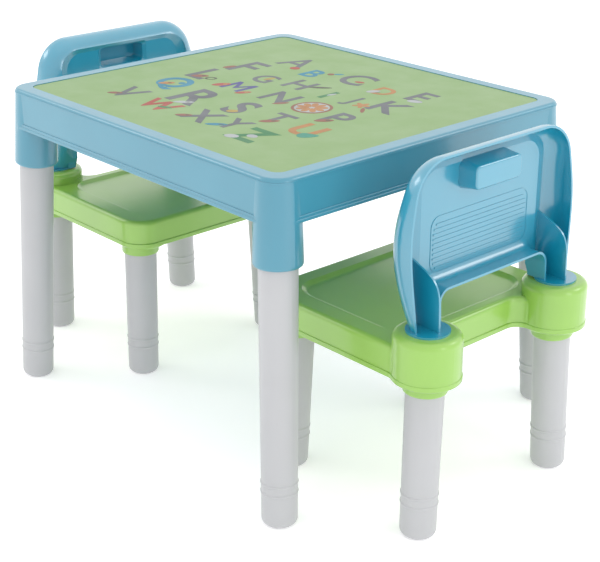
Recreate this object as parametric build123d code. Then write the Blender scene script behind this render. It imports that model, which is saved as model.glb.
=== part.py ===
"""Kids table with two matching chairs, all moulded plastic.

Frame: origin on the floor under the centre of the tabletop, +Z up, millimetres.
The print on the tabletop reads upright from the -Y side. Chair 1 stands on the +X side and
faces -X; chair 2 stands on the -X side and faces +X.
Chairs are drawn once in their own frame (u = +X towards the backrest, v = +Y) and placed.
"""
import os
from math import cos, hypot, radians, sin

from build123d import *

# ---- table ---------------------------------------------------------------------------------
TABLE_H = 444.0                     # top of the frame above the floor
TOP_HALF_X, TOP_HALF_Y = 284.2, 258.8   # half size of the apron at its lower edge
APRON_BOTTOM = 388.5
APRON_R = 28.0                      # vertical corner radius
APRON_DRAFT = 1.3                   # degrees, walls lean in going up
WALL = 3.0
DECK_BOTTOM = 437.0                 # underside of the deck that carries the printed panel
PANEL_HALF_X, PANEL_HALF_Y = 260.6, 236.0
PANEL_R = 14.0
PANEL_BOTTOM, PANEL_TOP = 440.2, 443.2
PANEL_GAP = 0.3                     # all round, panel to frame
FOOT_X, FOOT_Y = 277.5, 250.0       # leg axis on the floor
LEAN_X, LEAN_Y = 23.0, 20.5         # how far the axis moves in by the time it reaches TABLE_H
SOCKET_R, SOCKET_TOP_R = 30.2, 28.4
SOCKET_BOTTOM = 332.7
LEG_FOOT_R, LEG_TOP_R = 22.6, 24.4
LEG_WALL = 2.6
RIB_DEPTH = 11.0                    # stiffening ribs under the deck
RING_HEIGHTS = (44.0, 56.5)         # raised beads round the foot of every leg
RING_RISE = 0.9
FOOT_ROUND = 9.0

# ---- chair ---------------------------------------------------------------------------------
CHAIR_1 = (292.4, -15.2, 0.0)       # x, y, turn about Z
CHAIR_2 = (-292.4, -0.4, 180.0)
CLEG_U, CLEG_V = 115.8, 125.9       # chair leg axis on the floor
CLEG_LEAN_U, CLEG_LEAN_V = 3.6, 7.2  # inward by the height below
CLEG_LEAN_Z = 187.0
CLEG_FOOT_R, CLEG_TOP_R = 22.5, 23.8
SEAT_FRONT, SEAT_BACK, SEAT_HALF_V = -149.5, 88.0, 150.0
SEAT_FRONT_R = 36.0
SEAT_BOTTOM, SEAT_TOP = 209.0, 248.0
SEAT_CEILING = 236.0                # underside of the seat sheet
DISH_FLOOR = 243.6
BOSS_U, BOSS_V, BOSS_R, BOSS_TOP = 111.5, 117.0, 41.0, 267.0
COLLAR_R, COLLAR_BOTTOM = 27.0, 190.6
LEG_STOP = 236.0
PEG_R, PEG_BOTTOM = 20.0, 241.0
PEG_GAP = 0.3
DISC_R, DISC_TOP = 26.6, 269.5

BACK_TOP = 468.3                    # top of the backrest above the floor
BACK_CORNER = 50.0
BACK_CORNER_V, BACK_CORNER_Z = 88.6, 418.3   # centre of the corner arc
SHOULDER_LEAN = 11.3                # degrees, the sides lean in where the corner begins
BACK_ROLL = 28.0                    # rolled front edge of the backrest
SKIN = 3.0
RECESS_FRONT, BEVEL_FRONT_U, PANEL_FRONT_U = 55.0, 75.0, 80.0
ARCH_HALF, ARCH_TOP, ARCH_R = 95.0, 307.5, 14.0
ARCH_COVE = 13.0                    # hollow fillet between the panel and the arch's flange
WEB_V, WEB_T = 116.0, 2.6
GRIP_HALF, GRIP_LOW, GRIP_HIGH = 43.0, 413.0, 449.0
GRIP_BACK_U = 108.5
RIB_COUNT, RIB_PITCH, RIB_START = 10, 6.0, 325.0
FRAME_HALF, FRAME_LOW, FRAME_TOP = 87.0, 319.0, 389.0  # raised line round the ribs
FRAME_R, FRAME_LINE = 14.0, 1.0

os.makedirs("parts", exist_ok=True)
CORNERS = [(1, -1), (1, 1), (-1, 1), (-1, -1)]


def slab(hx, hy, r, z0, z1, taper=0.0, cx=0.0, cy=0.0):
    """Rounded rectangular plate from z0 to z1."""
    face = Plane.XY.offset(z0) * Pos(cx, cy) * RectangleRounded(2 * hx, 2 * hy, r)
    return extrude(face, z1 - z0, taper=taper)


def block(x0, x1, y0, y1, z0, z1):
    centre = ((x0 + x1) / 2, (y0 + y1) / 2, (z0 + z1) / 2)
    return Pos(*centre) * Box(x1 - x0, y1 - y0, z1 - z0)


def rod(r, z0, z1, x=0.0, y=0.0):
    return Pos(x, y, (z0 + z1) / 2) * Cylinder(r, z1 - z0)


def cone(r0, r1, z0, z1):
    return Pos(0, 0, (z0 + z1) / 2) * Cone(r0, r1, z1 - z0)


def tilted(foot_x, foot_y, in_x, in_y, rise):
    """Plane whose Z axis runs up a leg that leans towards the middle."""
    sx = 1 if foot_x > 0 else -1
    sy = 1 if foot_y > 0 else -1
    return Plane(origin=(foot_x, foot_y, 0), x_dir=(1, 0, 0), z_dir=(-sx * in_x, -sy * in_y, rise))


def leg(axis, r_foot, r_top, z_ref, z_top):
    """Hollow tapered tube with a closed rounded foot and two raised rings, cut flat at z_top."""
    body = cone(r_foot, r_top, -1.0, z_ref)
    body = fillet(body.edges().group_by(Axis.Z)[0], FOOT_ROUND)
    for z in RING_HEIGHTS:
        r = r_foot + (r_top - r_foot) * z / z_ref
        body += Pos(0, 0, z) * Torus(r - 2.6 + RING_RISE, 2.6)
    body -= cone(r_foot - LEG_WALL, r_top - LEG_WALL, 4.0, z_ref + 1.0)
    body = axis * body
    return body & block(-700, 700, -700, 700, 0.0, z_top)


# ---- table top -----------------------------------------------------------------------------
def table_axis(sx, sy):
    return tilted(sx * FOOT_X, sy * FOOT_Y, LEAN_X, LEAN_Y, TABLE_H)


def make_table_top():
    shell = slab(TOP_HALF_X, TOP_HALF_Y, APRON_R, APRON_BOTTOM, TABLE_H, APRON_DRAFT)
    shell = fillet(shell.faces().sort_by(Axis.Z)[-1].edges(), 5.0)
    # small bead under the shoulder, and a double band round the lower edge
    shell += slab(TOP_HALF_X - 0.5, TOP_HALF_Y - 0.5, APRON_R - 0.5, 437.6, 439.4)
    band = slab(TOP_HALF_X + 2.4, TOP_HALF_Y + 2.4, APRON_R + 2.4, APRON_BOTTOM, 393.0)
    band = fillet(band.edges().group_by(Axis.Z)[-1] + band.edges().group_by(Axis.Z)[0], 1.4)
    shell += band
    band = slab(TOP_HALF_X + 1.2, TOP_HALF_Y + 1.2, APRON_R + 1.2, APRON_BOTTOM + 2, 396.5)
    shell += fillet(band.edges().group_by(Axis.Z)[-1], 0.9)
    cavity = slab(TOP_HALF_X - WALL, TOP_HALF_Y - WALL, APRON_R - WALL, APRON_BOTTOM - 1,
                  DECK_BOTTOM, APRON_DRAFT)
    shell -= cavity
    for y in (-118.0, 0.0, 118.0):
        shell += block(-281, 281, y - 1.5, y + 1.5, DECK_BOTTOM - RIB_DEPTH, DECK_BOTTOM + 1)
    for x in (-130.0, 0.0, 130.0):
        shell += block(x - 1.5, x + 1.5, -255, 255, DECK_BOTTOM - RIB_DEPTH, DECK_BOTTOM + 1)
    for sx, sy in CORNERS:
        axis = table_axis(sx, sy)
        run = hypot(hypot(LEAN_X, LEAN_Y), TABLE_H) / TABLE_H
        socket = cone(SOCKET_R, SOCKET_TOP_R, SOCKET_BOTTOM * run, (DECK_BOTTOM + 6) * run)
        socket = fillet(socket.edges().group_by(Axis.Z)[0], 4.5)
        shell += (axis * socket) & block(-700, 700, -700, 700, 0, DECK_BOTTOM + 2)
    for sx, sy in CORNERS:
        hole = cone(LEG_FOOT_R + 0.25, LEG_TOP_R + 0.25, 0.0, TABLE_H + 20)
        hole = (table_axis(sx, sy) * hole) & block(-700, 700, -700, 700, 0, DECK_BOTTOM)
        shell -= hole
    shell -= slab(PANEL_HALF_X + PANEL_GAP, PANEL_HALF_Y + PANEL_GAP, PANEL_R + PANEL_GAP,
                  PANEL_BOTTOM, TABLE_H + 5)
    return shell


def make_panel():
    panel = slab(PANEL_HALF_X, PANEL_HALF_Y, PANEL_R, PANEL_BOTTOM, PANEL_TOP)
    return fillet(panel.edges().group_by(Axis.Z)[-1], 0.5)


# ---- chair seat ----------------------------------------------------------------------------
def chair_axis(su, sv):
    return tilted(su * CLEG_U, sv * CLEG_V, CLEG_LEAN_U, CLEG_LEAN_V, CLEG_LEAN_Z)


def seat_outline(grow=0.0):
    mid = (SEAT_FRONT + SEAT_BACK) / 2
    half_u = (SEAT_BACK - SEAT_FRONT) / 2
    plan = Pos(mid, 0) * RectangleRounded(2 * half_u, 2 * SEAT_HALF_V, SEAT_FRONT_R)
    plan += Pos(mid + SEAT_FRONT_R, 0) * Rectangle(2 * half_u - 2 * SEAT_FRONT_R, 2 * SEAT_HALF_V)
    for sv in (1, -1):
        plan += Pos(BOSS_U, sv * BOSS_V) * Circle(BOSS_R)
    # close the inside corners between the side, the back edge and the round bosses
    plan = offset(offset(plan, 20.0, kind=Kind.ARC), -20.0 + grow, kind=Kind.ARC)
    return plan


def make_seat():
    plan = seat_outline()
    seat = extrude(Plane.XY.offset(SEAT_BOTTOM) * plan, SEAT_TOP - SEAT_BOTTOM)
    seat = fillet(seat.edges().group_by(Axis.Z)[-1], 7.0)
    for sv in (1, -1):
        boss = rod(BOSS_R + 0.6, SEAT_BOTTOM, BOSS_TOP, BOSS_U, sv * BOSS_V)
        seat += fillet(boss.edges().group_by(Axis.Z)[-1], 9.0)
    band = extrude(Plane.XY.offset(SEAT_BOTTOM - 1.5) * seat_outline(1.5), 6.5)
    seat += fillet(band.edges().group_by(Axis.Z)[-1] + band.edges().group_by(Axis.Z)[0], 1.2)
    # dish in the sitting surface
    dish = extrude(Plane.XY.offset(DISH_FLOOR) * Pos(-26, 0) * RectangleRounded(182, 228, 30),
                   10.0, taper=-54)
    seat -= fillet(dish.edges().group_by(Axis.Z)[0], 7.0)
    # hollow underside
    seat -= extrude(Plane.XY.offset(180) * seat_outline(-WALL), SEAT_CEILING - 180)
    for sv in (1, -1):
        ring = rod(BOSS_R - 3.5, 180, 261.5, BOSS_U, sv * BOSS_V)
        seat -= ring
    for su, sv in CORNERS:
        top = 264.0 if su > 0 else SEAT_CEILING + 1
        collar = rod(COLLAR_R, COLLAR_BOTTOM, top + 12)
        collar = fillet(collar.edges().group_by(Axis.Z)[0], 3.0)
        seat += (chair_axis(su, sv) * collar) & block(-400, 400, -400, 400, 0, top)
        # shallow rounded cup that closes the corner round the collar
        r = BOSS_R - 2.5 if su > 0 else SEAT_FRONT_R - 1.0
        u = BOSS_U if su > 0 else SEAT_FRONT + SEAT_FRONT_R
        v = BOSS_V if su > 0 else SEAT_HALF_V - SEAT_FRONT_R
        cup = rod(r, 203.5, 212.0, u, sv * v)
        cup = fillet(cup.edges().group_by(Axis.Z)[0], 4.5)
        seat += cup - rod(r - 3.5, 206.5, 220.0, u, sv * v)
    for su, sv in CORNERS:
        hole = cone(CLEG_FOOT_R + 0.25, CLEG_TOP_R + 0.25, 0.0, CLEG_LEAN_Z + 60)
        seat -= (chair_axis(su, sv) * hole) & block(-400, 400, -400, 400, 0, LEG_STOP)
    for sv in (1, -1):
        seat -= rod(PEG_R + PEG_GAP, PEG_BOTTOM - 1.0, BOSS_TOP + 1, BOSS_U, sv * BOSS_V)
    return seat


# ---- chair backrest ------------------------------------------------------------------------
def back_outline(inset):
    """Outline of the backrest seen from the front, v across and z up."""
    top = BACK_TOP - inset
    side = 138.6 - inset
    r = BACK_CORNER - inset
    low = DISC_TOP
    lean = radians(SHOULDER_LEAN)
    shoulder = (BACK_CORNER_V + r * cos(lean), BACK_CORNER_Z + r * sin(lean))
    with BuildSketch(Plane.YZ) as sketch:
        with BuildLine():
            points = [(side, low), (side + 3.9, 310), (side + 7.4, 356), (side + 6.0, 388), shoulder]
            right = Spline(*points, tangents=[(0.1, 1), (-sin(lean), cos(lean))])
            JernArc(right @ 1, (-sin(lean), cos(lean)), r, 90 - SHOULDER_LEAN)
            Line((BACK_CORNER_V, top), (-BACK_CORNER_V, top))
            JernArc((-BACK_CORNER_V, top), (-1, 0), r, 90 - SHOULDER_LEAN)
            left = Spline(*[(-a, b) for a, b in points], tangents=[(-0.1, 1), (sin(lean), cos(lean))])
            Line(left @ 0, right @ 0)
        make_face()
    return sketch.sketch


def back_profile(inset, rear):
    """Side view of the backrest, u fore and aft and z up; the front bulges forward."""
    low, top = DISC_TOP, BACK_TOP
    with BuildSketch(Plane.XZ) as sketch:
        with BuildLine():
            front = Spline((86 + inset, low), (75.2 + inset, 298), (67.2 + inset, 332),
                           (64.8 + inset, 356), (65.4 + inset, 384), (68.4 + inset, 409),
                           (72.6 + inset, 432), (75.5 + inset, top + 1))
            Line(front @ 1, (104.5 + rear, top + 1))
            back = Spline((104.5 + rear, top + 1), (107 + rear, 375), (112 + rear, low))
            Line(back @ 1, front @ 0)
        make_face()
    return sketch.sketch


def back_solid(inset, rear, roll):
    wide = extrude(back_outline(inset), 70)
    wide = Pos(60, 0, 0) * wide
    side = extrude(back_profile(inset, rear), 160, both=True)
    solid = wide & side
    front_edges = [e for e in solid.edges()
                   if e.center().X < 88 + inset and e.center().Z > DISC_TOP + 0.5]
    return fillet(front_edges, roll)


def lofted(u0, half0, low0, high0, r0, u1, half1, low1, high1, r1):
    """Rounded rectangular block whose section changes from u0 to u1."""
    a = Plane.YZ.offset(u0) * Pos(0, (low0 + high0) / 2) * RectangleRounded(2 * half0, high0 - low0, r0)
    b = Plane.YZ.offset(u1) * Pos(0, (low1 + high1) / 2) * RectangleRounded(2 * half1, high1 - low1, r1)
    return loft([a.face(), b.face()])


def arch(grow):
    face = Pos(0, (200 + ARCH_TOP + grow) / 2) * RectangleRounded(
        2 * (ARCH_HALF + grow), ARCH_TOP + grow - 200, ARCH_R + grow)
    return extrude(Plane.YZ.offset(40) * face, 110)


def arch_cove():
    """Hollow fillet that runs round the arch at the rear of the panel."""
    half, top, r, low = ARCH_HALF + SKIN - 0.5, ARCH_TOP + SKIN - 0.5, ARCH_R + SKIN, DISC_TOP - 1
    u = PANEL_FRONT_U + SKIN - 0.5
    corners = [(-half, low), (-half, top), (half, top), (half, low)]
    path = Plane.YZ.offset(u) * FilletPolyline(*corners, radius=r)
    reach = ARCH_COVE + 0.5
    start = Plane(origin=(u, -half, low), x_dir=(1, 0, 0), z_dir=(0, 0, 1))
    with BuildSketch(start) as section:
        with BuildLine():
            Polyline((0, -reach), (0, 0), (reach, 0))
            CenterArc((reach, -reach), reach, 90, 90)
        make_face()
    return sweep(section.sketch, path=path)


def make_web(sv):
    """Upright stiffening plate in a post, curved away at its top."""
    with BuildSketch(Plane.XZ) as sketch:
        with BuildLine():
            lower = Polyline((87.8, DISC_TOP - 0.5), (128.5, DISC_TOP - 0.5), (127.4, 304))
            upper = Spline(lower @ 1, (125.2, 317), (119.5, 328), (109, 336), (90, 344.5), (67.0, 353),
                           tangents=[(-0.04, 1), (-1, 0.3)])
            Spline(upper @ 1, (69.8, 332), (77.8, 298), lower @ 0)
        make_face()
    web = extrude(sketch.sketch, WEB_T / 2, both=True)
    return Pos(0, sv * WEB_V, 0) * web


def pressed(skin):
    """Shape pressed into the backrest from the front: a steep wall, a wide bevel, a flat panel."""
    wall = lofted(RECESS_FRONT, 119 + skin, 150, 460.5 + skin, 40,
                  BEVEL_FRONT_U + skin, 117 + skin * 0.7, 150, 458.5 + skin * 0.7, 38)
    bevel = lofted(BEVEL_FRONT_U + skin, 117 + skin * 0.7, 150, 458.5 + skin * 0.7, 38,
                   PANEL_FRONT_U + skin, 103.5 + skin * 0.35, 156, 446 + skin * 0.35, 26)
    return wall + bevel


def make_backrest():
    outer = back_solid(0.0, 0.0, BACK_ROLL)
    inner = back_solid(SKIN, 20.0, BACK_ROLL - SKIN)
    shell = outer - (inner - pressed(SKIN) - arch(SKIN))
    for sv in (1, -1):
        shell += make_web(sv)
    shell = shell + arch_cove() - pressed(0.0) - arch(0.0)
    # carrying grip: a pocket pressed in from the front, standing out at the rear
    grip = lofted(PANEL_FRONT_U, GRIP_HALF, GRIP_LOW, GRIP_HIGH, 9,
                  GRIP_BACK_U, GRIP_HALF - 2.5, GRIP_LOW + 4.5, GRIP_HIGH - 3, 7)
    grip = fillet(grip.faces().sort_by(Axis.X)[-1].edges(), 3.0)
    pocket = lofted(PANEL_FRONT_U - 1, GRIP_HALF - 3, GRIP_LOW + 3, GRIP_HIGH - 3, 7,
                    GRIP_BACK_U - 3, GRIP_HALF - 5.5, GRIP_LOW + 7.5, GRIP_HIGH - 6, 5)
    mouth = lofted(PANEL_FRONT_U - 1, GRIP_HALF + 3.5, GRIP_LOW - 3.5, GRIP_HIGH + 1.5, 10,
                   PANEL_FRONT_U + 3, GRIP_HALF - 2.5, GRIP_LOW + 2.5, GRIP_HIGH - 2.5, 7)
    shell = shell + grip - pocket - mouth
    back_u = PANEL_FRONT_U + SKIN
    for i in range(RIB_COUNT):
        z = RIB_START + i * RIB_PITCH
        end = min(i, RIB_COUNT - 1 - i)         # ribs near the frame's corners are shorter
        half = FRAME_HALF - 4.0 - max(0, 2 - end) ** 2 * 1.2
        shell += block(back_u - 1, back_u + 0.7, -half, half, z - 1, z + 1)
    middle = Pos(0, (FRAME_TOP + FRAME_LOW) / 2)
    tall = FRAME_TOP - FRAME_LOW
    frame = middle * RectangleRounded(2 * FRAME_HALF, tall, FRAME_R)
    frame -= middle * RectangleRounded(2 * (FRAME_HALF - FRAME_LINE), tall - 2 * FRAME_LINE,
                                       FRAME_R - FRAME_LINE)
    shell += extrude(Plane.YZ.offset(back_u - 1) * frame, 1.6)
    for sv in (1, -1):
        shell += rod(DISC_R, BOSS_TOP, DISC_TOP, BOSS_U, sv * BOSS_V)
        peg = rod(PEG_R, PEG_BOTTOM, BOSS_TOP + 0.5, BOSS_U, sv * BOSS_V)
        peg = chamfer(peg.edges().group_by(Axis.Z)[0], 1.5)
        shell += peg - rod(PEG_R - 3, PEG_BOTTOM - 1, BOSS_TOP, BOSS_U, sv * BOSS_V)
    return shell


def save(node, shape):
    solids = shape.solids()
    shape = solids[0] if len(solids) == 1 else Compound(children=list(solids))
    box = shape.bounding_box()
    print(node, "solids", len(solids), "valid", shape.is_valid, "volume cm3", round(shape.volume / 1000, 1),
          "z", round(box.min.Z, 2), round(box.max.Z, 2))
    export_step(shape, "parts/" + node + ".step")


save("table_top", make_table_top())
save("table_panel", make_panel())
for n, (sx, sy) in enumerate(CORNERS, 1):
    save(f"table_leg_{n}", leg(table_axis(sx, sy), LEG_FOOT_R, LEG_TOP_R, TABLE_H + 10, DECK_BOTTOM))

seat_shape = make_seat()
back_shape = make_backrest()
for c, (cx, cy, turn) in enumerate((CHAIR_1, CHAIR_2), 1):
    place = Pos(cx, cy, 0) * Rot(0, 0, turn)
    save(f"chair_{c}_seat", place * seat_shape)
    save(f"chair_{c}_backrest", place * back_shape)
    for n, (su, sv) in enumerate(CORNERS, 1):
        one = leg(chair_axis(su, sv), CLEG_FOOT_R, CLEG_TOP_R, LEG_STOP + 8, LEG_STOP)
        save(f"chair_{c}_leg_{n}", place * one)
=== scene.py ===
"""Looks of the kids table and its two chairs: moulded plastic finishes, the printed panel,
a pale floor, soft studio light and a camera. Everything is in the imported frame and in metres,
except where a comment says mm."""
import math

import bmesh
import bpy
from mathutils import Matrix, Vector


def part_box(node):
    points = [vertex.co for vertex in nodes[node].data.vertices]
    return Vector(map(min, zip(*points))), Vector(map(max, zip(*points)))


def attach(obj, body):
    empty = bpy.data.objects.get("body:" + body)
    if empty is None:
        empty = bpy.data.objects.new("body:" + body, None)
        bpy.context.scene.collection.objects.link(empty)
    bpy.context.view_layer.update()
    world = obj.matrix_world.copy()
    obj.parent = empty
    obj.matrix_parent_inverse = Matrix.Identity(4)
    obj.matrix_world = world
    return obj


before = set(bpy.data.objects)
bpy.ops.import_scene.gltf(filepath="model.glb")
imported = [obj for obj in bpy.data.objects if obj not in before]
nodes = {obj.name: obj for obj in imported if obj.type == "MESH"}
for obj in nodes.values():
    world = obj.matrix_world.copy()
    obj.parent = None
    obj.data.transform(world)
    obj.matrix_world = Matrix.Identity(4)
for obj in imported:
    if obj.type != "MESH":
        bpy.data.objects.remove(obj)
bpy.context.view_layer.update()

# ---- camera --------------------------------------------------------------------------------
AZIMUTH, ELEVATION = 47.87, 22.88           # degrees; azimuth 0 looks along +Y
CAMERA_AT = (1.34187, -1.17879, 0.91864)
LENS, SENSOR = 80.433, 36.0                 # focal length and sensor width, mm
CLIP_START, CLIP_END = 0.05, 60.0

azimuth, elevation = math.radians(AZIMUTH), math.radians(ELEVATION)
to_camera = Vector((math.sin(azimuth) * math.cos(elevation),
                    -math.cos(azimuth) * math.cos(elevation),
                    math.sin(elevation)))
camera_data = bpy.data.cameras.new("camera")
camera_data.lens = LENS
camera_data.sensor_width = SENSOR
camera_data.clip_start = CLIP_START
camera_data.clip_end = CLIP_END
camera = bpy.data.objects.new("camera", camera_data)
camera.location = CAMERA_AT
camera.rotation_euler = (-to_camera).to_track_quat("-Z", "Y").to_euler()
bpy.context.scene.collection.objects.link(camera)
bpy.context.scene.camera = camera
bpy.context.scene.view_settings.view_transform = "Standard"


# ---- materials -----------------------------------------------------------------------------
NOISE_LOW, NOISE_HIGH = 0.3, 0.7            # the part of a noise's range that carries its pattern


def linear(r, g, b):
    """Colour given as 0-255 display values, as linear RGBA by the sRGB curve."""
    def one(c):
        c /= 255.0
        return c / 12.92 if c <= 0.04045 else ((c + 0.055) / 1.055) ** 2.4
    return (one(r), one(g), one(b), 1.0)


class Nodes:
    """Adds and links the nodes of one material."""

    def __init__(self, name):
        self.material = bpy.data.materials.new(name)
        self.material.use_nodes = True
        self.tree = self.material.node_tree
        self.tree.nodes.clear()
        self.output = self.add("ShaderNodeOutputMaterial")
        self.shader = self.add("ShaderNodeBsdfPrincipled")
        self.link(self.shader.outputs[0], self.output.inputs["Surface"])
        self.place = self.add("ShaderNodeTexCoord").outputs["Object"]

    def add(self, kind, **values):
        node = self.tree.nodes.new(kind)
        for key, value in values.items():
            setattr(node, key, value)
        return node

    def link(self, a, b):
        self.tree.links.new(a, b)

    def noise(self, scale, detail=2.0, rough=0.5, stretch=None, distortion=0.0):
        """Noise in the object's own coordinates, finer along an axis with a larger stretch."""
        node = self.add("ShaderNodeTexNoise")
        node.inputs["Scale"].default_value = scale
        node.inputs["Detail"].default_value = detail
        node.inputs["Roughness"].default_value = rough
        node.inputs["Distortion"].default_value = distortion
        source = self.place
        if stretch:
            mapping = self.add("ShaderNodeMapping")
            mapping.inputs["Scale"].default_value = stretch
            self.link(source, mapping.inputs["Vector"])
            source = mapping.outputs[0]
        self.link(source, node.inputs["Vector"])
        return node.outputs["Fac"]

    def remap(self, value, low, high, to_low, to_high):
        node = self.add("ShaderNodeMapRange")
        node.inputs["From Min"].default_value = low
        node.inputs["From Max"].default_value = high
        node.inputs["To Min"].default_value = to_low
        node.inputs["To Max"].default_value = to_high
        self.link(value, node.inputs["Value"])
        return node.outputs["Result"]

    def spread(self, noise, to_low=0.0, to_high=1.0):
        return self.remap(noise, NOISE_LOW, NOISE_HIGH, to_low, to_high)

    def total(self, a, b):
        node = self.add("ShaderNodeMath", operation="ADD")
        self.link(a, node.inputs[0])
        self.link(b, node.inputs[1])
        return node.outputs[0]

    def mix(self, factor, a, b):
        node = self.add("ShaderNodeMix", data_type="RGBA")
        self.link(factor, node.inputs["Factor"])
        for name, v in (("A", a), ("B", b)):
            socket = [s for s in node.inputs if s.name == name and s.type == "RGBA"][0]
            if isinstance(v, tuple):
                socket.default_value = v
            else:
                self.link(v, socket)
        return [s for s in node.outputs if s.type == "RGBA"][0]

    def bump(self, height, distance, strength, after=None):
        node = self.add("ShaderNodeBump")
        node.inputs["Distance"].default_value = distance
        node.inputs["Strength"].default_value = strength
        self.link(height, node.inputs["Height"])
        if after:
            self.link(after, node.inputs["Normal"])
        return node.outputs["Normal"]


def shade(colour, factor):
    return tuple(min(1.0, c * factor) for c in colour[:3]) + (1.0,)


def moulded(name, colour, rough, cloud=0.04, coat=0.0, coat_ior=1.5):
    """Injection-moulded plastic: faint clouding, a fine satin grain and hairline scuffs."""
    n = Nodes(name)
    clouds = n.noise(scale=7.0, detail=3.0, rough=0.55)
    base = n.mix(n.spread(clouds), shade(colour, 1.0 - cloud), shade(colour, 1.0 + cloud))
    specks = n.noise(scale=420.0, detail=1.0, rough=0.6)
    base = n.mix(n.remap(specks, 0.62, 0.75, 0.0, 0.10), base, shade(colour, 0.82))
    n.link(base, n.shader.inputs["Base Color"])

    flow = n.noise(scale=11.0, detail=4.0, rough=0.6, stretch=(1.0, 1.0, 0.35), distortion=0.6)
    flow = n.spread(flow, rough - 0.04, rough + 0.05)
    scuffs = n.noise(scale=36.0, detail=5.0, rough=0.75, stretch=(1.0, 14.0, 3.0), distortion=0.4)
    scuffs = n.remap(scuffs, 0.60, 0.72, 0.0, 0.05)
    n.link(n.total(flow, scuffs), n.shader.inputs["Roughness"])

    grain = n.noise(scale=1400.0, detail=2.0, rough=0.6)
    satin = n.bump(grain, distance=0.00002, strength=0.55)
    swell = n.noise(scale=16.0, detail=1.0, rough=0.4)
    waves = n.bump(swell, distance=0.0006, strength=0.25, after=satin)
    n.link(waves, n.shader.inputs["Normal"])
    n.link(satin, n.shader.inputs["Coat Normal"])
    n.shader.inputs["IOR"].default_value = 1.49
    n.shader.inputs["Specular IOR Level"].default_value = 0.9
    n.shader.inputs["Coat Weight"].default_value = coat
    n.shader.inputs["Coat IOR"].default_value = coat_ior
    n.shader.inputs["Coat Roughness"].default_value = 0.15
    return n.material


def printed(name, colour, rough, fade):
    """Ink or printed film: slightly uneven colour, matt grain."""
    n = Nodes(name)
    patches = n.noise(scale=38.0, detail=4.0, rough=0.6)
    base = n.mix(n.spread(patches), shade(colour, 1.0 - fade), shade(colour, 1.0 + fade))
    dots = n.noise(scale=900.0, detail=1.0, rough=0.5)
    base = n.mix(n.remap(dots, 0.45, 0.75, 0.0, 0.18), base, shade(colour, 1.25))
    n.link(base, n.shader.inputs["Base Color"])
    wear = n.noise(scale=24.0, detail=3.0)
    n.link(n.spread(wear, rough - 0.05, rough + 0.06), n.shader.inputs["Roughness"])
    grain = n.noise(scale=1100.0, detail=2.0)
    n.link(n.bump(grain, distance=0.000015, strength=0.5), n.shader.inputs["Normal"])
    n.shader.inputs["IOR"].default_value = 1.48
    return n.material


# linear colours
TABLE_BLUE = (0.040, 0.248, 0.352, 1.0)
CHAIR_BLUE = (0.003, 0.264, 0.400, 1.0)
SEAT_GREEN = (0.262, 0.500, 0.066, 1.0)
WHITE = (0.440, 0.444, 0.458, 1.0)
PRINT_GREEN = (0.222, 0.350, 0.142, 1.0)

finishes = {
    "blue_plastic_table": moulded("table_blue", TABLE_BLUE, rough=0.34, coat=0.60, coat_ior=1.5),
    "blue_plastic_chair": moulded("chair_blue", CHAIR_BLUE, rough=0.34, coat=1.0, coat_ior=1.80),
    "green_plastic": moulded("seat_green", SEAT_GREEN, rough=0.34, coat=0.65, coat_ior=1.45),
    "white_plastic_table": moulded("table_leg_white", WHITE, rough=0.40, cloud=0.03),
    "white_plastic_chair": moulded("chair_leg_white", WHITE, rough=0.40, cloud=0.03),
    "printed_panel": printed("print_film", PRINT_GREEN, rough=0.44, fade=0.015),
}

for name, obj in nodes.items():
    if name == "table_top":
        finish = "blue_plastic_table"
    elif name == "table_panel":
        finish = "printed_panel"
    elif name.startswith("table_leg"):
        finish = "white_plastic_table"
    elif name.endswith("_seat"):
        finish = "green_plastic"
    elif name.endswith("_backrest"):
        finish = "blue_plastic_chair"
    else:
        finish = "white_plastic_chair"
    for slot in obj.material_slots:
        slot.material = finishes[finish]

# ---- print on the panel: a plain alphabet and simple shapes ----------------------------------
PRINT_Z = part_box("table_panel")[1][2]       # top of the panel
INK = 0.0001                                # thickness of the print
INK_DEPTH = 0.70                            # factor on the colours in INKS
INK_ROUGH, INK_FADE = 0.50, 0.12
GLYPH_RESOLUTION = 8
WELD = 1e-7                                 # vertices closer than this are merged
MM = 0.001

# display colours, 0-255
INKS = {
    "grey": linear(116, 120, 126),
    "blue": linear(62, 148, 178),
    "orange": linear(196, 140, 86),
    "green": linear(72, 142, 92),
    "violet": linear(92, 92, 156),
    "red": linear(188, 92, 80),
    "rust": linear(158, 106, 88),
    "yellow": linear(190, 166, 86),
    "teal": linear(76, 162, 140),
    "white": linear(190, 196, 198),
    "dark": linear(96, 98, 84),
}

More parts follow.
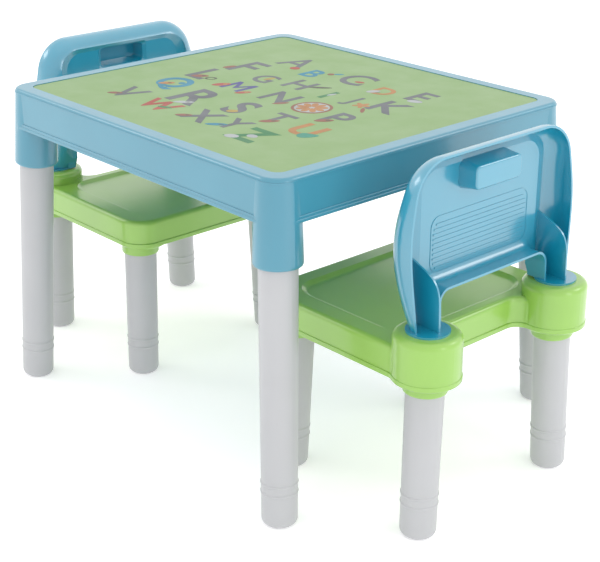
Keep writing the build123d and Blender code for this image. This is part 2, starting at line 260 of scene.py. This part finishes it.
# letter, x, y of its middle (mm), height (mm), boldness (mm), ink; there is no O, see FRUIT_AT,
# and M has its own outline, so its boldness isn't used
LETTERS = [
    ("A", -112, 134, 50, 0.8, "grey"), ("B", -50, 106, 36, 1.2, "blue"),
    ("C", 18, 128, 52, 1.4, "grey"), ("D", 88, 110, 34, 1.0, "orange"),
    ("E", 144, 127, 44, 1.4, "grey"), ("F", -142, 62, 60, 1.4, "grey"), ("G", -74, 36, 38, 1.0, "grey"),
    ("H", -16, 50, 42, 1.2, "grey"), ("I", 50, 42, 34, 1.6, "green"), ("J", 92, 44, 42, 0.9, "grey"),
    ("K", 152, 58, 50, 1.6, "grey"), ("L", -152, -8, 54, 1.6, "grey"),
    ("M", -66, -20, 40, 0.0, "violet"), ("N", 16, -15, 46, 1.4, "grey"),
    ("P", 143, -28, 46, 1.4, "grey"), ("Q", -144, -76, 58, 1.8, "blue"),
    ("R", -60, -98, 66, 2.0, "grey"), ("S", 20, -87, 54, 2.0, "grey"), ("T", 90, -84, 40, 1.4, "grey"),
    ("U", 154, -92, 44, 1.8, "orange"), ("V", -144, -150, 46, 1.4, "grey"),
    ("W", -64, -158, 38, 1.6, "red"), ("X", 16, -149, 44, 1.8, "grey"),
    ("Y", 72, -142, 40, 1.2, "grey"), ("Z", 124, -157, 48, 2.2, "green"),
]

# a slice of fruit stands for the O: middle and radius in mm, then fractions of the radius
FRUIT_AT, FRUIT_R, FRUIT_SEGMENTS = (82, -18), 28, 9
RIND_OUTER, RIND_INNER, PITH = 1.0, 0.86, 0.84
SEGMENT_OFF, SEGMENT_LONG, SEGMENT_WIDE = 0.45, 0.33, 0.15
SEGMENT_RISE = 1.5                          # top of a segment, in INK above the panel

OUTLINE_POINTS = 48
LEAF_POINT = 0.35                           # larger makes a leaf's ends more pointed
DROP_TAPER = 0.45
STAR_ARMS = 5
RING_HOLE = 0.6                             # hole of a ring, fraction of its size

# tops of the accents, in INK above the panel
ACCENT_RISE, ACCENT_STEP, ACCENT_LEVELS = 1.3, 0.15, 3

# spot on a leaf: least half width of such a leaf (mm), fractions of the leaf, rise in INK
SPOT_LEAF = 5
SPOT_OFF, SPOT_LONG, SPOT_WIDE, SPOT_RISE = 0.40, 0.24, 0.34, 0.1

# shape, x, y of its middle (mm), half length, half width (mm), turn (degrees), ink
ACCENTS = [
    ("disc", -92, 108, 8, 7, 0, "red"), ("disc", -30, 122, 5, 5, 0, "rust"),
    ("leaf", -22, 130, 8, 3, 40, "blue"), ("leaf", 30, 121, 8, 4, 15, "red"),
    ("disc", 78, 100, 10, 6, 60, "white"), ("leaf", 82, 100, 7, 3, 60, "dark"),
    ("disc", 152, 104, 11, 6, 20, "white"), ("disc", -163, 43, 11, 5, 75, "rust"),
    ("leaf", -70, 40, 10, 4, 80, "yellow"), ("leaf", 14, 60, 17, 4, 40, "dark"),
    ("leaf", 52, 46, 8, 3, 80, "white"), ("star", 118, 38, 13, 6, 12, "orange"),
    ("leaf", 136, 22, 12, 3, -50, "rust"), ("leaf", -150, -22, 13, 7, 40, "rust"),
    ("ring", -128, -20, 9, 7, 40, "dark"), ("leaf", -92, -30, 14, 7, 60, "red"),
    ("leaf", -38, -36, 12, 5, 60, "red"), ("leaf", 38, -34, 12, 4, 60, "rust"),
    ("leaf", 137, -48, 13, 6, 50, "rust"), ("leaf", -150, -82, 12, 6, 50, "orange"),
    ("disc", -134, -67, 5, 5, 0, "blue"), ("leaf", -54, -126, 15, 5, 40, "white"),
    ("disc", 24, -106, 8, 6, 40, "yellow"), ("leaf", 92, -101, 14, 6, 50, "rust"),
    ("drop", 172, -108, 14, 9, 40, "teal"), ("leaf", -155, -166, 11, 5, 40, "rust"),
    ("leaf", -50, -160, 11, 4, 20, "green"), ("leaf", -4, -164, 12, 5, 40, "rust"),
    ("leaf", 58, -160, 15, 5, 40, "blue"), ("disc", 110, -178, 10, 7, 20, "white"),
    ("disc", 128, -160, 8, 6, 0, "white"),
]


def new_mesh(name):
    mesh = bpy.data.meshes.new(name)
    obj = bpy.data.objects.new(name, mesh)
    bpy.context.scene.collection.objects.link(obj)
    return obj


def span(mesh, axis):
    """Lowest and highest coordinate of a mesh along one axis."""
    values = [v.co[axis] for v in mesh.vertices]
    return min(values), max(values)


def glyph(letter, x, y, height, bold):
    """One capital letter as a thin closed solid, its middle at x, y; all lengths in metres."""
    curve = bpy.data.curves.new("glyph", "FONT")
    curve.body = letter
    curve.align_x, curve.align_y = "CENTER", "CENTER"
    curve.size = 1.0
    obj = bpy.data.objects.new("glyph", curve)
    bpy.context.scene.collection.objects.link(obj)
    bpy.context.view_layer.update()
    mesh = bpy.data.meshes.new_from_object(obj)
    low, top = span(mesh, 1)
    bpy.data.meshes.remove(mesh)
    curve.size = height / (top - low)
    curve.offset = bold
    curve.extrude = INK / 2
    curve.resolution_u = GLYPH_RESOLUTION
    bpy.context.view_layer.update()
    mesh = bpy.data.meshes.new_from_object(obj)
    left, right = span(mesh, 0)
    low, top = span(mesh, 1)
    shift = Vector((x - (right + left) / 2, y - (top + low) / 2, PRINT_Z + INK / 2))
    mesh.transform(Matrix.Translation(shift))
    bpy.data.objects.remove(obj)
    return mesh


def letter_m(height):
    """Points round a capital M with its middle at the origin."""
    half, stroke = 0.50 * height, 0.19 * height
    valley_low, valley_high, shoulder = -0.30 * height, -0.02 * height, 0.22 * height
    right = [(0.0, valley_low), (half - stroke, shoulder), (half - stroke, -half), (half, -half),
             (half, half), (half - stroke, half), (0.0, valley_high)]
    left = [(-x, y) for x, y in reversed(right[1:-1])]
    return right + left


def outline(shape, long, wide):
    """Points round a simple shape, in its own frame."""
    points = []
    for i in range(OUTLINE_POINTS):
        t = 2 * math.pi * i / OUTLINE_POINTS
        c, s = math.cos(t), math.sin(t)
        if shape == "leaf":                 # pointed at both ends
            points.append((long * c, wide * s * abs(s) ** LEAF_POINT))
        elif shape == "drop":               # narrow at one end
            points.append((long * c, wide * s * (1.0 - DROP_TAPER * c)))
        elif shape == "star":
            r = wide + (long - wide) * (0.5 + 0.5 * math.cos(STAR_ARMS * t))
            points.append((r * c, r * s))
        else:                               # disc and ring
            points.append((long * c, wide * s))
    return points


def flat_solid(bm, points, top):
    """Closed thin solid over one outline, from the panel up."""
    low = [bm.verts.new((x, y, PRINT_Z)) for x, y in points]
    high = [bm.verts.new((x, y, top)) for x, y in points]
    bm.faces.new(high)
    bm.faces.new(list(reversed(low)))
    n = len(points)
    for i in range(n):
        j = (i + 1) % n
        bm.faces.new((low[i], low[j], high[j], high[i]))


def ring_solid(bm, outer, inner, top):
    """Closed thin solid between two outlines, from the panel up."""
    loops = [[bm.verts.new((x, y, z)) for x, y in pts] for z in (PRINT_Z, top) for pts in (outer, inner)]
    lo_out, lo_in, hi_out, hi_in = loops
    n = len(outer)
    for i in range(n):
        j = (i + 1) % n
        bm.faces.new((hi_out[i], hi_out[j], hi_in[j], hi_in[i]))
        bm.faces.new((lo_out[j], lo_out[i], lo_in[i], lo_in[j]))
        bm.faces.new((lo_out[i], lo_out[j], hi_out[j], hi_out[i]))
        bm.faces.new((lo_in[j], lo_in[i], hi_in[i], hi_in[j]))


def turned(points, x, y, angle=0.0):
    """The points turned by an angle in degrees, then moved to x, y."""
    c, s = math.cos(math.radians(angle)), math.sin(math.radians(angle))
    return [(x + px * c - py * s, y + px * s + py * c) for px, py in points]


def along(distance, angle):
    """Step of a given length in a direction given in degrees."""
    return Matrix.Rotation(math.radians(angle), 2) @ Vector((distance, 0.0))


layers = {}


def layer(ink):
    """The mesh that collects everything printed in one ink."""
    if ink not in layers:
        layers[ink] = bmesh.new()
    return layers[ink]


for letter, x, y, height, bold, ink in LETTERS:
    if letter == "M":
        flat_solid(layer(ink), turned(letter_m(height * MM), x * MM, y * MM), PRINT_Z + INK)
    else:
        mesh = glyph(letter, x * MM, y * MM, height * MM, bold * MM)
        layer(ink).from_mesh(mesh)
        bpy.data.meshes.remove(mesh)

for i, (shape, x, y, long, wide, turn, ink) in enumerate(ACCENTS, start=1):
    # accents next to each other in the list differ in height, so that none shares a surface
    top = PRINT_Z + INK * (ACCENT_RISE + ACCENT_STEP * (i % ACCENT_LEVELS))
    outer = turned(outline(shape, long * MM, wide * MM), x * MM, y * MM, turn)
    if shape == "ring":
        inner = turned(outline(shape, long * RING_HOLE * MM, wide * RING_HOLE * MM), x * MM, y * MM, turn)
        ring_solid(layer(ink), outer, inner, top)
    else:
        flat_solid(layer(ink), outer, top)

    # a small spot of another ink on the larger leaves
    if shape == "leaf" and wide >= SPOT_LEAF:
        off = along(SPOT_OFF * long, turn)
        spot = outline("disc", SPOT_LONG * long * MM, SPOT_WIDE * wide * MM)
        flat_solid(layer("yellow" if ink == "red" else "dark"),
                   turned(spot, (x + off.x) * MM, (y + off.y) * MM, turn), top + SPOT_RISE * INK)

x, y = (c * MM for c in FRUIT_AT)
radius = FRUIT_R * MM
rind = [turned(outline("disc", k * radius, k * radius), x, y) for k in (RIND_OUTER, RIND_INNER)]
ring_solid(layer("rust"), *rind, PRINT_Z + INK)
flat_solid(layer("white"), turned(outline("disc", PITH * radius, PITH * radius), x, y), PRINT_Z + INK)
for i in range(FRUIT_SEGMENTS):
    angle = 360.0 * i / FRUIT_SEGMENTS
    middle = along(SEGMENT_OFF * radius, angle)
    segment = outline("drop", SEGMENT_LONG * radius, SEGMENT_WIDE * radius)
    flat_solid(layer("orange"), turned(segment, x + middle.x, y + middle.y, angle + 180),
               PRINT_Z + SEGMENT_RISE * INK)

for ink, bm in layers.items():
    bmesh.ops.remove_doubles(bm, verts=bm.verts, dist=WELD)
    bmesh.ops.recalc_face_normals(bm, faces=bm.faces)
    obj = new_mesh("print_" + ink)
    bm.to_mesh(obj.data)
    bm.free()
    obj.data.materials.append(printed("ink_" + ink, shade(INKS[ink], INK_DEPTH), INK_ROUGH, INK_FADE))
    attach(obj, "table")

# ---- floor and light -------------------------------------------------------------------------
FLOOR_R, FLOOR_SIDES = 14.0, 96
FLOOR_Z = -0.0005                           # just under the feet
FLOOR_PALE, FLOOR_PALER = (0.91, 0.913, 0.917, 1), (0.93, 0.932, 0.935, 1)
WORLD_STRENGTH = 1.16

# name, place, what it aims at, width, height, power (W)
SOFTBOXES = [
    ("key", (-2.05, -1.35, 1.9), (0.0, 0.0, 0.3), 1.0, 0.8, 8.0),
    ("kick", (1.65, 1.85, 1.9), (0.0, 0.0, 0.3), 1.0, 0.8, 8.0),
    ("fill", (2.8, 0.1, 1.1), (0.0, 0.0, 0.25), 0.5, 1.5, 6.0),
    ("top", (0.0, 0.3, 3.2), (0.0, 0.0, 0.0), 2.6, 2.6, 3.0),
]

floor = new_mesh("floor")
bm = bmesh.new()
bmesh.ops.create_circle(bm, cap_ends=True, segments=FLOOR_SIDES, radius=FLOOR_R)
bm.to_mesh(floor.data)
bm.free()
floor.location.z = FLOOR_Z
n = Nodes("floor_white")
patches = n.spread(n.noise(scale=0.8, detail=2.0))
n.link(n.mix(patches, FLOOR_PALE, FLOOR_PALER), n.shader.inputs["Base Color"])
unevenness = n.noise(scale=30.0, detail=3.0)
n.link(n.bump(unevenness, distance=0.0002, strength=0.3), n.shader.inputs["Normal"])
n.shader.inputs["Roughness"].default_value = 0.85
n.shader.inputs["Specular IOR Level"].default_value = 0.2
n.shader.inputs["Emission Color"].default_value = (1.0, 1.0, 1.0, 1.0)
n.shader.inputs["Emission Strength"].default_value = 0.30
floor.data.materials.append(n.material)

world = bpy.data.worlds.new("studio")
bpy.context.scene.world = world
world.use_nodes = True
background = world.node_tree.nodes["Background"]
background.inputs["Color"].default_value = (1.0, 1.0, 1.0, 1.0)
background.inputs["Strength"].default_value = WORLD_STRENGTH

for name, at, target, width, height, power in SOFTBOXES:
    light = bpy.data.lights.new(name, "AREA")
    light.shape = "RECTANGLE"
    light.size = width
    light.size_y = height
    light.energy = power
    softbox = bpy.data.objects.new(name, light)
    softbox.location = at
    aim = Vector(target) - Vector(at)
    softbox.rotation_euler = aim.to_track_quat("-Z", "Y").to_euler()
    bpy.context.scene.collection.objects.link(softbox)
